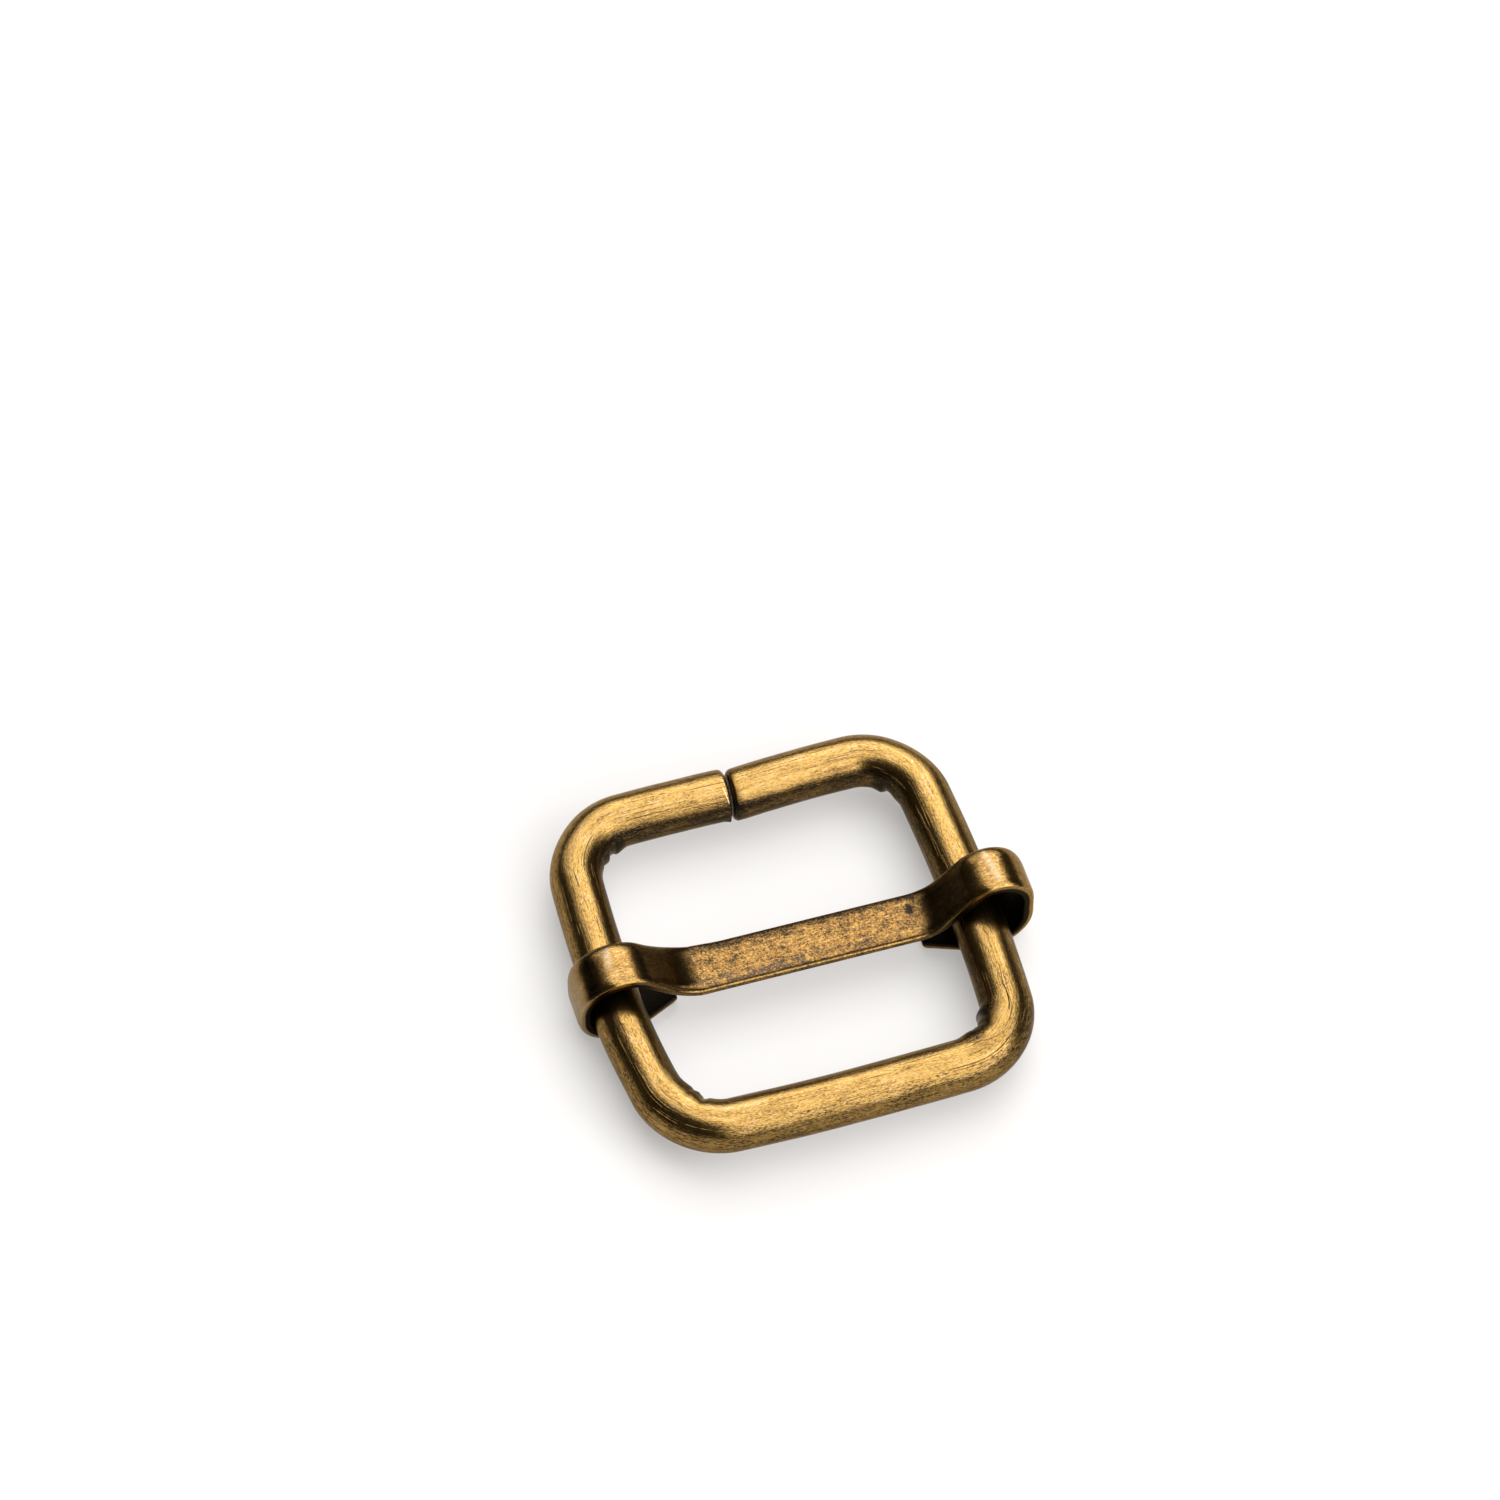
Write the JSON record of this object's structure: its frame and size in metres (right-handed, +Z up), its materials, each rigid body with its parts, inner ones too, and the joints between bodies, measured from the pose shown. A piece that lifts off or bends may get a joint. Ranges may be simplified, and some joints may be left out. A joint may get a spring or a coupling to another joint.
{
  "type": "buckle slider",
  "caption": "Strap adjuster: a bent wire frame with a curled sheet-metal bar that slides along its two side rails.",
  "frame": {"origin": "middle of the outer box, on the surface that the two tabs rest on", "axes": "+X along the bars, +Y from the plain front bar to the back bar with the wire joint, +Z up, out of the side that the curls stand proud of"},
  "size_m": [0.031, 0.0282, 0.0071],
  "materials": {
    "frame_brass": "antique brass, rubbed, with dark patina in the recesses and fine drawing lines along the wire",
    "bar_brass": "antique brass, mottled, darker on its slopes and brighter on its rims"
  },
  "bodies": {
    "frame": {"wire_frame": "frame_brass"},
    "slider": {"slide_bar": "bar_brass"}
  },
  "joints": [
    {"name": "bar_slide", "type": "slide", "parent": "frame", "child": "slider", "axis": [0, 1, 0], "range_m": [-0.006, 0.0074]}
  ]
}
